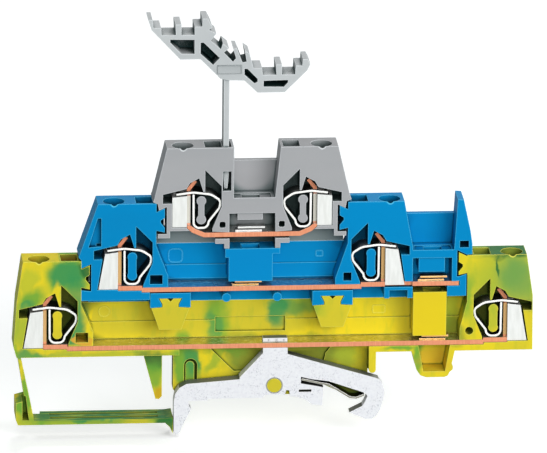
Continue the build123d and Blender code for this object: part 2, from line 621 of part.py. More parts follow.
def wire_pocket(clamp, outline, web_low_end):
    """Adds one folded sheet pocket: two side plates and the web that joins them."""
    (top_out, top_in, low_in, low_out) = outline
    for behind in (pocket_back, pocket_front + sheet):
        slab(clamp.spread(outline), behind, behind - sheet)
    slope = (low_out[0] - top_out[0]) / (low_out[1] - top_out[1])
    low_x = top_out[0] + slope * (web_low_end - top_out[1])
    web = [top_out, (top_out[0] + sheet, top_out[1]), (low_x + sheet, web_low_end), (low_x, web_low_end)]
    slab(clamp.spread(web), pocket_back, pocket_front)


deck_pocket = ((-2.5, 6.6), (pocket_edge, 6.95), (pocket_edge, -0.7), (-3.8, -0.7))
top_pocket = ((-2.85, 6.65), (pocket_edge, 6.95), (pocket_edge, 0.55), (-2.85, 0.55))


def jumper_contact(left, right, bar_face):
    """Adds one hairpin contact lying on a bar."""
    low = bar_face
    high = low + 2 * contact_sheet + contact_gap
    ahead = front + contact_inset
    behind = ahead + contact_depth
    block(left, right - 0.6, low, low + contact_sheet, behind, ahead)
    block(left + 0.5, right, high - contact_sheet, high, behind, ahead)
    block(left + 0.5, right - 0.6, low, high, behind, behind - contact_sheet)


# Shaft blocks that carry a jumper down past the deck above
block_back = wall_face - 0.25
middle_contact_high = middle_level - bar_step + 2 * contact_sheet + contact_gap
bottom_contact_high = bottom_level - bar_step + 2 * contact_sheet + contact_gap
with BuildPart() as middle_shaft_block:
    arm_left = web_left - 0.75
    arm_right = web_right + 0.9
    leg_left = web_left - 0.05
    leg_right = web_right - 0.55
    leg_low = middle_contact_high + clearance
    tee = [(arm_left, top_seam + 0.1), (arm_right, top_seam + 0.1), (arm_right, top_seam - 1.0)]
    tee += [(leg_right, top_seam - 1.0), (leg_right, leg_low), (leg_left, leg_low), (leg_left, top_seam - 1.7)]
    slab(tee + [(arm_left, top_seam - 1.7)], block_back, front)
    jumper_slot(upper_slot_left, 0, top_level)

with BuildPart() as bottom_shaft_block:
    block_left = bay_slot_left - 2.15
    block_right = bay_slot_left + jumper_slot_length + 0.9
    block(block_left, block_right, bottom_contact_high + clearance, middle_level - 2.25, block_back, front)
    jumper_slot(bay_slot_left, 0, middle_level)

pieces = {
    "bottom_housing": bottom_housing,
    "middle_housing": middle_housing,
    "top_housing": top_housing,
    "marker_carrier": marker_carrier,
    "rail_foot": rail_foot,
    "foot_leaf_spring": foot_leaf_spring,
    "bottom_busbar": bottom_busbar,
    "middle_busbar": middle_busbar,
    "top_busbar": top_busbar,
    "middle_shaft_block": middle_shaft_block,
    "bottom_shaft_block": bottom_shaft_block,
}

for clamp in all_clamps:
    with BuildPart() as spring:
        clamp_spring(clamp)
    pieces["clamp_spring_" + clamp.name] = spring
    with BuildPart() as pocket_piece:
        if clamp in top_clamps:
            wire_pocket(clamp, top_pocket, 0.55)
        else:
            wire_pocket(clamp, deck_pocket, 0.3)
    pieces["wire_pocket_" + clamp.name] = pocket_piece

# Left end, right end and the bar face under each jumper contact
upper_contact_left = upper_slot_left - 1.8
bay_contact_left = bay_slot_left - 1.2
contact_places = {
    "top": (web_left + 1.25, web_right - 2.1, top_level - bar_step - 0.2),
    "middle": (upper_contact_left, upper_contact_left + contact_length, middle_level - bar_step),
    "bay": (bay_contact_left, bay_contact_left + contact_length, middle_level - clearance),
    "bottom": (bay_contact_left + 0.4, bay_contact_left + 0.4 + contact_length, bottom_level - bar_step),
}
for place, (left, right, bar_face) in contact_places.items():
    with BuildPart() as contact:
        jumper_contact(left, right, bar_face)
    pieces["jumper_contact_" + place] = contact

os.makedirs("parts", exist_ok=True)
for label, piece in pieces.items():
    piece.part.label = label
    export_step(piece.part, "parts/" + label + ".step")
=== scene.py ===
"""Looks of the triple level terminal block.

The finish of each node, the small moulded and punched marks, the floor, the lamps and the camera.
"""

from __future__ import annotations

import logging
import math
from collections.abc import Callable
from dataclasses import dataclass
from enum import Enum

import bpy
from mathutils import Matrix, Vector


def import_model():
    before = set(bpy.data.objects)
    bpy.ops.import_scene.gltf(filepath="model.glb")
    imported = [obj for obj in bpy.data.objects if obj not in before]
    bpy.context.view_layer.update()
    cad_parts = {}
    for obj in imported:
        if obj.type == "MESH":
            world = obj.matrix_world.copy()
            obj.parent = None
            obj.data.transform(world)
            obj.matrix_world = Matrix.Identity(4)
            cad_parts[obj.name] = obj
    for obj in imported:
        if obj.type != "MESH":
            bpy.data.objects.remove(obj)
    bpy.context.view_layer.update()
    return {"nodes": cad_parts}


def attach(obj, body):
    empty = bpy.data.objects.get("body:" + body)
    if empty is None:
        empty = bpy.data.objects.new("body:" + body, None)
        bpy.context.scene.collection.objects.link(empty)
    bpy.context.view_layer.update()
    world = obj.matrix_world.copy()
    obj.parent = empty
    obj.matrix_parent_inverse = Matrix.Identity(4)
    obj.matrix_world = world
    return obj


LOG = logging.getLogger("terminal_block")
MM = 0.001

Colour = tuple[float, float, float, float]
Point = tuple[float, float, float]
Socket = bpy.types.NodeSocket
Shade = Colour | Socket
FaceTest = Callable[[bpy.types.MeshPolygon], bool]


def tint(code: str) -> Colour:
    """Turns a colour written as six hexadecimal digits into the linear colour that a shader takes.

    Args:
        code: The colour, such as "dccb3c".

    Returns:
        Red, green, blue and alpha.
    """
    shades = [int(code[start : start + 2], 16) / 255 for start in (0, 2, 4)]
    linear = [s / 12.92 if s <= 0.04045 else ((s + 0.055) / 1.055) ** 2.4 for s in shades]
    return (linear[0], linear[1], linear[2], 1.0)


class Signal:
    """A number that varies over a surface. Arithmetic on it adds Math nodes."""

    def __init__(self, wiring: Wiring, socket: Socket) -> None:
        """Keeps the wiring that owns the node and the socket that gives the number."""
        self.wiring = wiring
        self.socket = socket

    def __add__(self, other: Signal | float) -> Signal:
        """Adds another signal or a number."""
        return self.wiring.maths("ADD", self, other)

    __radd__ = __add__

    def __mul__(self, other: Signal | float) -> Signal:
        """Multiplies by another signal or a number."""
        return self.wiring.maths("MULTIPLY", self, other)

    __rmul__ = __mul__

    def __sub__(self, other: Signal | float) -> Signal:
        """Takes another signal or a number away."""
        return self.wiring.maths("SUBTRACT", self, other)

    def __rsub__(self, other: float) -> Signal:
        """Takes this signal away from a number."""
        return self.wiring.maths("SUBTRACT", other, self)

    def squared(self) -> Signal:
        """The signal times itself."""
        return self * self

    def above(self, edge: float, softness: float) -> Signal:
        """A mask that rises smoothly from 0 to 1 around an edge value.

        Args:
            edge: The value at which the mask is half.
            softness: The width of the change.

        Returns:
            The mask.
        """
        ramp = self.wiring.node(
            "ShaderNodeMapRange",
            {"interpolation_type": "SMOOTHSTEP"},
            {0: self, 1: edge - softness / 2, 2: edge + softness / 2, 3: 0.0, 4: 1.0},
        )
        return Signal(self.wiring, ramp.outputs[0])

    def below(self, edge: float, softness: float) -> Signal:
        """A mask that falls smoothly from 1 to 0 around an edge value."""
        return 1.0 - self.above(edge, softness)

    def greater_of(self, other: Signal | float) -> Signal:
        """The larger of the two."""
        return self.wiring.maths("MAXIMUM", self, other)


class Wiring:
    """The nodes of one material or world, and the one method that adds to them."""

    def __init__(self, tree: bpy.types.NodeTree) -> None:
        """Empties a node tree and keeps it."""
        self.tree = tree
        self.tree.nodes.clear()

    def plug(self, target: Socket, value: object) -> None:
        """Links a socket or Signal to a target socket, or sets the target to a plain value."""
        if isinstance(value, Signal):
            value = value.socket
        if isinstance(value, Socket):
            self.tree.links.new(value, target)
        else:
            target.default_value = value

    def node(self, kind: str, settings: dict, values: dict) -> bpy.types.Node:
        """Adds a node, applies its settings first and then its socket values or links.

        Args:
            kind: The node's type.
            settings: Attributes of the node.
            values: Socket name or number to a value, a socket or a Signal.

        Returns:
            The new node.
        """
        made = self.tree.nodes.new(kind)
        for name, value in settings.items():
            setattr(made, name, value)
        for key, value in values.items():
            self.plug(made.inputs[key], value)
        return made

    def maths(self, operation: str, *values: Signal | float) -> Signal:
        """Adds one Math node.

        Args:
            operation: The node's operation.
            values: Its inputs, in order.

        Returns:
            The result.
        """
        made = self.node("ShaderNodeMath", {"operation": operation}, dict(enumerate(values)))
        return Signal(self, made.outputs[0])

    def shown(self) -> Signal:
        """A mask that is 1 to the camera, in reflections and through glass, and 0 to other light."""
        path = self.node("ShaderNodeLightPath", {}, {})
        rays = ("Is Camera Ray", "Is Glossy Ray", "Is Transmission Ray")
        camera, glossy, through = (Signal(self, path.outputs[ray]) for ray in rays)
        return camera.greater_of(glossy).greater_of(through)


class Way(Enum):
    """A way that a face may look: the number of its axis and its sign."""

    FRONT = (1, -1.0)
    UP = (2, 1.0)


class Recipe(Wiring):
    """One material under construction: its place on the part in millimetres and its shader."""

    bevel_samples = 6
    openness_samples = 8
    turned_edge = 0.95
    turned_softness = 0.08
    thin_edge = 0.88
    thin_softness = 0.2

    def __init__(self, name: str) -> None:
        """Starts an empty material with one shader and one output."""
        self.material = bpy.data.materials.new(name)
        self.material.use_nodes = True
        super().__init__(self.material.node_tree)
        self.shader = self.node("ShaderNodeBsdfPrincipled", {}, {})
        self.output = self.node("ShaderNodeOutputMaterial", {}, {"Surface": self.shader.outputs[0]})
        place = self.node("ShaderNodeTexCoord", {}, {}).outputs["Object"]
        per_metre = (1.0 / MM, 1.0 / MM, 1.0 / MM)
        self.place = self.node("ShaderNodeMapping", {}, {"Vector": place, "Scale": per_metre}).outputs[0]

    def axes(self) -> tuple[Signal, Signal, Signal]:
        """The place on the part as three signals, in millimetres."""
        split = self.node("ShaderNodeSeparateXYZ", {}, {0: self.place})
        return tuple(Signal(self, split.outputs[n]) for n in range(3))

    def noise(
        self,
        grain: float,
        detail: float = 2.0,
        stretch: Point = (1.0, 1.0, 1.0),
        shift: Point = (0.0, 0.0, 0.0),
    ) -> Signal:
        """Cloudy noise around one half.

        Args:
            grain: The rough size of one cloud in millimetres.
            detail: How many finer layers are added.
            stretch: How much longer the clouds are along each axis.
            shift: Where the pattern starts, in clouds.

        Returns:
            The noise.
        """
        scale = tuple(1.0 / (grain * s) for s in stretch)
        placing = {"Vector": self.place, "Location": shift, "Scale": scale}
        turned = self.node("ShaderNodeMapping", {}, placing)
        values = {"Vector": turned.outputs[0], "Scale": 1.0, "Detail": detail}
        cloud = self.node("ShaderNodeTexNoise", {}, values)
        return Signal(self, cloud.outputs[0])

    def blend(self, share: Signal, low: Shade, high: Shade) -> Socket:
        """Mixes two colours by a mask and returns the colour socket."""
        mixed = self.node("ShaderNodeMix", {"data_type": "RGBA"}, {0: share, 6: low, 7: high})
        return mixed.outputs[2]

    def normal(self) -> Socket:
        """The plain normal of the face."""
        return self.node("ShaderNodeNewGeometry", {}, {}).outputs["Normal"]

    def facing(self, way: Way) -> Signal:
        """How far the face looks a way: 1 straight along it, 0 across it and -1 away from it."""
        axis, sign = way.value
        split = self.node("ShaderNodeSeparateXYZ", {}, {0: self.normal()})
        return Signal(self, split.outputs[axis]) * sign

    def rounded(self, radius: float) -> Socket:
        """A normal that rolls over sharp edges within a radius in millimetres."""
        bevel = self.node("ShaderNodeBevel", {"samples": self.bevel_samples}, {"Radius": radius * MM})
        return bevel.outputs[0]

    def openness(self, reach: float, inside: bool = False) -> Signal:
        """How much of the space before a face is free within a reach in millimetres.

        Args:
            reach: How far the test looks.
            inside: Looks into the solid instead, where only a thin edge is open.

        Returns:
            1 on an open face and less in a hollow, or at an edge when it looks inside.
        """
        settings = {"samples": self.openness_samples, "inside": inside, "only_local": inside}
        test = self.node("ShaderNodeAmbientOcclusion", settings, {"Distance": reach * MM})
        return Signal(self, test.outputs["AO"])

    def highlight_edge(self, radius: float) -> Signal:
        """A mask along outer edges only, where painted highlights go: the normal turns there, and the solid
        behind is thin.

        Args:
            radius: How far from the edge the mask reaches.

        Returns:
            The mask.
        """
        sockets = {0: self.rounded(radius), 1: self.normal()}
        match = self.node("ShaderNodeVectorMath", {"operation": "DOT_PRODUCT"}, sockets)
        turned = Signal(self, match.outputs["Value"]).below(self.turned_edge, self.turned_softness)
        return turned * self.openness(radius, inside=True).below(self.thin_edge, self.thin_softness)

    def relief(self, height: Signal, depth: float, base: Socket) -> Socket:
        """Turns a height into a bumped normal.

        Args:
            height: The relief between 0 and 1.
            depth: Its height in millimetres.
            base: The normal that it stands on.

        Returns:
            The normal socket.
        """
        values = {"Height": height, "Distance": depth * MM, "Strength": 1.0, "Normal": base}
        return self.node("ShaderNodeBump", {}, values).outputs[0]

    def pour(self, **sockets: object) -> bpy.types.Material:
        """Sets or links the shader's sockets and returns the finished material.

        Args:
            sockets: Socket names with underscores for spaces, and a value, socket or Signal each.

        Returns:
            The material.
        """
        for name, value in sockets.items():
            self.plug(self.shader.inputs[name.replace("_", " ")], value)
        return self.material


class Pigment(Enum):
    """The colours that run together in the earth terminal's moulding compound. RUST and ORANGE only colour
    painted shade in chambers and pockets, and AMBER and OLIVE do so as well.
    """

    YELLOW = "ecd42b"
    STRAW = "d3c336"
    LIME = "a9ba3a"
    LEAF = "6ba83e"
    GREEN = "3a9356"
    PINE = "1f6a3a"
    OLIVE = "7d9038"
    AMBER = "c08c22"
    RUST = "a86a1c"
    ORANGE = "e6ac3c"
    SAGE = "86a84e"


@dataclass(frozen=True)
class Drift:
    """One soft patch of a pigment, seen from the open side: its middle, half sizes and lean in degrees."""

    x: float
    z: float
    wide: float
    high: float
    pigment: Pigment = Pigment.YELLOW
    lean: float = 0.0
    strength: float = 0.9
    softness: float = 0.45

    def mask(self, recipe: Recipe, place: Socket) -> Signal:
        """How strongly the patch covers each place.

        Args:
            recipe: The material under construction.
            place: The place in millimetres.

        Returns:
            The mask.
        """
        through_the_width = 1.0e6
        turned = recipe.node(
            "ShaderNodeMapping",
            {"vector_type": "TEXTURE"},
            {
                "Vector": place,
                "Location": (self.x, 0.0, self.z),
                "Rotation": (0.0, -math.radians(self.lean), 0.0),
                "Scale": (self.wide, through_the_width, self.high),
            },
        )
        far = recipe.node("ShaderNodeVectorMath", {"operation": "LENGTH"}, {0: turned.outputs[0]})
        return Signal(recipe, far.outputs["Value"]).below(1.0, 2 * self.softness) * self.strength

    def over(self, recipe: Recipe, place: Socket, below: Shade) -> Socket:
        """Lays the patch over a colour and returns the new colour."""
        return recipe.blend(self.mask(recipe, place), below, tint(self.pigment.value))


@dataclass(frozen=True)
class PaintedShading:
    """Painted shade in a moulding's chambers and creases, and painted highlights along its outer edges.

    middle, deep and line are the colours of the painted shade in half-deep places, chambers and creases,
    and rim the colour of the painted highlight on edges. The patches in lit count as open and get less
    painted shade, those in glows colour the painted shade in the chambers, and those in quiet have no
    painted highlight.
    """

    middle: str
    deep: str
    line: str
    rim: str
    reach: float = 5.5
    middle_at: float = 0.55
    middle_softness: float = 0.36
    middle_share: float = 0.8
    dark_at: float = 0.32
    dark_softness: float = 0.26
    crease: float = 0.75
    crease_reach: float = 0.6
    crease_at: float = 0.66
    crease_softness: float = 0.3
    edge: float = 0.85
    edge_width: float = 0.26
    edge_margin: float = 0.1
    edge_softness: float = 0.3
    lit_share: float = 0.9
    lit: tuple[Drift, ...] = ()
    shade_tints: tuple[Drift, ...] = ()
    quiet: tuple[Drift, ...] = ()

    def _space(self, recipe: Recipe) -> Signal:
        """How open each place is, with the lit patches raised."""
        space = recipe.openness(self.reach)
        for patch in self.lit:
            space = space.greater_of(patch.mask(recipe, recipe.place) * self.lit_share)
        return space

    def _painted_highlight(self, recipe: Recipe, space: Signal) -> Signal:
        """Where outer edges get a painted highlight."""
        open_enough = space.above(self.dark_at - self.edge_margin, self.edge_softness)
        highlight = recipe.highlight_edge(self.edge_width) * open_enough * self.edge
        for patch in self.quiet:
            highlight = highlight * (1.0 - patch.mask(recipe, recipe.place))
        return highlight

    def over(self, recipe: Recipe, below: Shade) -> Socket:
        """Paints shade into the chambers and creases of a plain colour and paints highlights along its
        outer edges.

        Args:
            recipe: The material under construction.
            below: The plain colour.

        Returns:
            The finished colour.
        """
        space = self._space(recipe)
        half_shade = space.below(self.middle_at, self.middle_softness) * self.middle_share
        half_shaded = recipe.blend(half_shade, below, tint(self.middle))
        deep: Shade = tint(self.deep)
        for patch in self.shade_tints:
            deep = patch.over(recipe, recipe.place, deep)
        dark = recipe.blend(space.below(self.dark_at, self.dark_softness), half_shaded, deep)
        crease = recipe.openness(self.crease_reach).below(self.crease_at, self.crease_softness)
        crease_shaded = recipe.blend(crease * self.crease, dark, tint(self.line))
        return recipe.blend(self._painted_highlight(recipe, space), crease_shaded, tint(self.rim))


@dataclass(frozen=True)
class Skin:
    """The surface that all moulded pieces share: a light sheen, a fine grain and rolled edges."""

    gloss: float = 0.46
    gloss_drift: float = 0.12
    gloss_cloud: float = 3.0
    sheen: float = 0.03
    grain: float = 0.35
    grain_depth: float = 0.012
    edge_roll: float = 0.14

    def over(self, recipe: Recipe, colour: Socket) -> bpy.types.Material:
        """Gives a finished colour this surface and returns the material."""
        grain = recipe.noise(self.grain, detail=4.0)
        return recipe.pour(
            Base_Color=colour,
            Roughness=self.gloss + self.gloss_drift * recipe.noise(self.gloss_cloud),
            Specular_IOR_Level=self.sheen,
            Normal=recipe.relief(grain, self.grain_depth, recipe.rounded(self.edge_roll)),
        )


@dataclass(frozen=True)
class Dusk:
    """Painted shade on the wall under a deck: its colour, its top, and how deep in the width it lies."""

    colour: str
    top: float
    top_softness: float = 0.6
    near: float = 1.2
    far: float = 2.4
    softness: float = 0.4
    share: float = 0.6
    drift: float = 0.3

    def over(self, recipe: Recipe, flow: Signal, below: Socket) -> Socket:
        """Lays the painted shade over a colour, more or less of it with the flow of the plastic."""
        _, y, z = recipe.axes()
        wall = y.above(self.near, self.softness) * y.below(self.far, self.softness)
        panel = z.below(self.top, self.top_softness) * wall
        return recipe.blend(panel * (flow * self.drift + self.share), below, tint(self.colour))


@dataclass(frozen=True)
class MouldedPlastic:
    """Plain coloured polyamide with a slow drift between two near colours, painted shade in its hollows and
    creases and painted highlights on its edges.
    """

    name: str
    colour: str
    drift: str
    hollow: PaintedShading
    skin: Skin = Skin()
    dusk: Dusk | None = None
    drift_share: float = 0.5

    def material(self) -> bpy.types.Material:
        """Builds the material."""
        recipe = Recipe(self.name)
        flow = recipe.noise(grain=9.0, detail=3.0, stretch=(2.5, 1.0, 1.0))
        drifting = flow.above(0.5, softness=0.5) * self.drift_share
        body = recipe.blend(drifting, tint(self.colour), tint(self.drift))
        # painted shade under a deck, where one is given
        if self.dusk:
            body = self.dusk.over(recipe, flow, body)
        return self.skin.over(recipe, self.hollow.over(recipe, body))


@dataclass(frozen=True)
class Streaks:
    """Long flow streaks of one pigment within a patch, strongest on its upper faces."""

    within: Drift
    grain: float
    share: float
    stretch: Point = (1.0, 1.0, 1.0)
    raggedness: float = 0.12
    off_top: float = 0.2

    def over(self, recipe: Recipe, below: Shade) -> Socket:
        """Lays the streaks over a colour and returns the new colour."""
        flow = recipe.noise(self.grain, detail=3.0, stretch=self.stretch, shift=(2.0, 4.0, 6.0))
        on_top = recipe.facing(Way.UP).above(0.5, softness=0.4) * (1.0 - self.off_top) + self.off_top
        streak = flow.above(1.0 - self.share, self.raggedness)
        mask = streak * self.within.mask(recipe, recipe.place) * on_top
        return recipe.blend(mask, below, tint(self.within.pigment.value))


@dataclass(frozen=True)
class MarbledPlastic:
    """Yellow polyamide with drifts of green, as moulded for earth terminals.

    stir is how far the drifts are pushed about, in millimetres, and stir_scale how often per millimetre.
    """

    name: str
    drifts: tuple[Drift, ...]
    streaks: tuple[Streaks, ...]
    hollow: PaintedShading
    skin: Skin = Skin()
    stir: float = 4.6
    stir_scale: float = 0.22
    haze_share: float = 0.8
    vein_share: float = 0.16

    def _stirred(self, recipe: Recipe) -> Socket:
        """The place in millimetres, pushed about so that the drifts get ragged edges."""
        values = {"Vector": recipe.place, "Scale": self.stir_scale, "Detail": 3.0}
        slow = recipe.node("ShaderNodeTexNoise", {}, values)
        half = -self.stir / 2
        push = recipe.node(
            "ShaderNodeVectorMath",
            {"operation": "MULTIPLY_ADD"},
            {0: slow.outputs["Color"], 1: (self.stir, 0.0, self.stir), 2: (half, 0.0, half)},
        )
        sockets = {0: recipe.place, 1: push.outputs[0]}
        moved = recipe.node("ShaderNodeVectorMath", {"operation": "ADD"}, sockets)
        return moved.outputs[0]

    def material(self) -> bpy.types.Material:
        """Builds the material."""
        recipe = Recipe(self.name)
        place = self._stirred(recipe)
        haze = recipe.noise(grain=8.0, detail=3.0, stretch=(1.0, 1.0, 1.8), shift=(5.0, 2.0, 9.0))
        straw = haze.above(0.5, softness=0.3) * self.haze_share
        body = recipe.blend(straw, tint(Pigment.YELLOW.value), tint(Pigment.STRAW.value))
        for drift in self.drifts:
            body = drift.over(recipe, place, body)
        for streak in self.streaks:
            body = streak.over(recipe, body)
        veins = recipe.noise(grain=1.6, detail=4.0, stretch=(1.0, 1.0, 3.2), shift=(3.0, 7.0, 1.0))
        vein = veins.above(0.6, softness=0.2) * self.vein_share
        body = recipe.blend(vein, body, tint(Pigment.LEAF.value))
        # painted shade in hollows and creases and painted highlights on edges go over the marbling
        return self.skin.over(recipe, self.hollow.over(recipe, body))


@dataclass(frozen=True)
class TinnedBar:
    """Tin-plated copper bar, bare copper where its front edge is sheared, with a painted shade of gold on
    the uprights' cut edges and a painted reflection of the deck on its top faces.
    """

    name: str
    level: float
    tongue_at: float
    # mirror is the colour of the painted reflection of the deck wall on the top faces, and brass the
    # painted shade of the uprights' cut edges
    mirror: str
    copper: str = "ea9a72"
    streak: str = "d98560"
    upright_shade: str = "d9ac6c"
    tin: str = "efe9df"
    upright_from: float = 0.75
    mirror_share: float = 0.75
    tin_metal: float = 0.85
    cut_metal: float = 0.15
    gloss: float = 0.22
    cut_gloss: float = 0.3
    gloss_drift: float = 0.08
    shear_depth: float = 0.015
    edge_roll: float = 0.08

    def material(self) -> bpy.types.Material:
        """Builds the material."""
        recipe = Recipe(self.name)
        _, _, z = recipe.axes()
        cut = recipe.facing(Way.FRONT).above(0.7, softness=0.2)
        raised = z.above(self.level + self.upright_from, softness=0.2)
        upright = raised * z.below(self.tongue_at, softness=0.2)
        shear = recipe.noise(grain=0.5, detail=3.0, stretch=(0.5, 1.0, 6.0))
        copper = recipe.blend(shear.above(0.5, softness=0.5), tint(self.copper), tint(self.streak))
        # the cut edges of the uprights get a painted shade of gold instead of copper
        edge = recipe.blend(upright, copper, tint(self.upright_shade))
        skin = recipe.blend(cut, tint(self.tin), edge)
        # painted reflection of the deck wall on the top faces, in clouds
        clouds = recipe.noise(grain=0.4, detail=3.0, stretch=(2.0, 1.0, 1.0))
        top = recipe.facing(Way.UP).above(0.7, softness=0.2) * clouds.above(0.42, softness=0.3)
        mirrored = recipe.blend(top * self.mirror_share, skin, tint(self.mirror))
        return recipe.pour(
            Base_Color=mirrored,
            Metallic=self.tin_metal - (self.tin_metal - self.cut_metal) * cut,
            Roughness=self.gloss + self.cut_gloss * cut + self.gloss_drift * recipe.noise(grain=2.0),
            Normal=recipe.relief(shear * cut, self.shear_depth, recipe.rounded(self.edge_roll)),
        )


@dataclass(frozen=True)
class Ring:
    """A thin dark line around a round hole in a plate: its middle and radius."""

    x: float
    z: float
    radius: float
    colour: str = "4a4a28"
    share: float = 0.85

    def over(self, recipe: Recipe, below: Socket) -> Socket:
        """Draws the line over a colour and returns the new colour."""
        x, _, z = recipe.axes()
        far = ((x - self.x).squared() + (z - self.z).squared()) * (1.0 / self.radius**2)
        line = far.above(0.95, softness=0.2) * far.below(1.22, softness=0.3)
        return recipe.blend(line * self.share, below, tint(self.colour))


@dataclass(frozen=True)
class BrightMetal:
    """Bright strip or plate: a metal colour, rolling marks along one axis, rolled edges, painted shade in
    its cavities and creases, and painted highlights on its outer edges.
    """

    name: str
    colour: str
    shade: str
    roughness: float
    metallic: float = 1.0
    stretch: Point = (8.0, 1.0, 1.0)
    speckle: float = 0.0
    spot: str = "a9a9b0"
    # deep is the colour of the painted shade in cavities and creases, rim that of the painted highlight on
    # outer edges, and roof that of a painted reflection on upper faces
    deep: str = "1d1c19"
    cave_shade: float = 0.4
    cave_reach: float = 4.0
    crease_reach: float = 0.5
    crease_share: float = 0.9
    rim: str = "ffffff"
    highlight_width: float = 0.18
    highlight_share: float = 0.6
    roof_reflection: str = ""
    roof_share: float = 0.85
    ring: Ring | None = None
    gloss_drift: float = 0.15
    roll_share: float = 0.5
    roll_depth: float = 0.006
    edge_roll: float = 0.08

    def _plate(self, recipe: Recipe, rolled: Signal) -> Socket:
        """The plain metal with what lies on it: rolling marks, spots, a painted reflection of the deck on
        its upper faces and the ring.
        """
        marks = rolled.above(0.5, softness=0.5) * self.roll_share
        tone = recipe.blend(marks, tint(self.colour), tint(self.shade))
        if self.speckle:
            patches = recipe.noise(grain=2.4).above(0.5, softness=0.3)
            spots = recipe.noise(grain=0.3, detail=3.0).above(0.6, softness=0.1) * patches
            tone = recipe.blend(spots * self.speckle, tone, tint(self.spot))
        if self.roof_reflection:
            upper = recipe.facing(Way.UP).above(0.75, softness=0.2)
            tone = recipe.blend(upper * self.roof_share, tone, tint(self.roof_reflection))
        if self.ring:
            tone = self.ring.over(recipe, tone)
        return tone

    def material(self) -> bpy.types.Material:
        """Builds the material."""
        recipe = Recipe(self.name)
        rolled = recipe.noise(grain=0.6, detail=4.0, stretch=self.stretch)
        tone = self._plate(recipe, rolled)
        # painted shade in cavities and creases, then painted highlights along outer edges
        cave_shade = recipe.openness(self.cave_reach).below(self.cave_shade, softness=0.4)
        tone = recipe.blend(cave_shade, tone, tint(self.deep))
        crease = recipe.openness(self.crease_reach).below(0.6, softness=0.3)
        tone = recipe.blend(crease * self.crease_share, tone, tint(self.deep))
        tone = recipe.blend(recipe.highlight_edge(self.highlight_width) * self.highlight_share, tone, tint(self.rim))
        return recipe.pour(
            Base_Color=tone,
            Metallic=self.metallic,
            Roughness=self.roughness + self.gloss_drift * recipe.noise(grain=1.5),
            Normal=recipe.relief(rolled, self.roll_depth, recipe.rounded(self.edge_roll)),
        )


@dataclass(frozen=True)
class PhotoCamera:
    """The camera of the reference view: from above and a little from the left, through a long lens.

    Angles are in degrees, distance and target in millimetres, clips in metres, and the focal length in
    pixels of a picture as wide as frame_width.
    """

    azimuth: float = -5.0
    elevation: float = 17.287
    roll: float = 0.578
    distance: float = 2200.0
    target: Point = (-0.728, 0.0, 35.456)
    focal_pixels: float = 11114.9
    frame_width: int = 547
    sensor: float = 36.0
    clip_start: float = 0.05
    clip_end: float = 20.0

    def build(self) -> None:
        """Adds the camera and makes it the scene's."""
        turn, rise, lean = (math.radians(v) for v in (self.azimuth, self.elevation, self.roll))
        back = Vector((math.sin(turn) * math.cos(rise), -math.cos(turn) * math.cos(rise), math.sin(rise)))
        right = Vector((math.cos(turn), math.sin(turn), 0.0))
        above = back.cross(right)
        across = math.cos(lean) * right + math.sin(lean) * above
        upward = math.cos(lean) * above - math.sin(lean) * right
        data = bpy.data.cameras.new("photo_camera")
        data.sensor_width = self.sensor
        data.lens = self.focal_pixels * self.sensor / self.frame_width
        data.clip_start = self.clip_start
        data.clip_end = self.clip_end
        camera = bpy.data.objects.new("photo_camera", data)
        place = (Vector(self.target) + back * self.distance) * MM
        facing = Matrix((across, upward, back)).transposed().to_4x4()
        camera.matrix_world = Matrix.Translation(place) @ facing
        bpy.context.scene.collection.objects.link(camera)
        bpy.context.scene.camera = camera


@dataclass(frozen=True)
class Lamp:
    """One square soft lamp: its way from the block, its power in watts, and the rest in metres."""

    name: str
    way: Point
    distance: float
    side: float
    power: float
    aim: Point = (0.0, 0.0, 0.035)

    def hang(self) -> None:
        """Adds the lamp, turned to the middle of the block."""
        middle = Vector(self.aim)
        place = middle + Vector(self.way).normalized() * self.distance
        data = bpy.data.lights.new(self.name, "AREA")
        data.energy = self.power
        data.size = self.side
        lamp = bpy.data.objects.new(self.name, data)
        lamp.location = place
        lamp.rotation_mode = "QUATERNION"
        lamp.rotation_quaternion = (place - middle).to_track_quat("Z", "Y")
        bpy.context.scene.collection.objects.link(lamp)


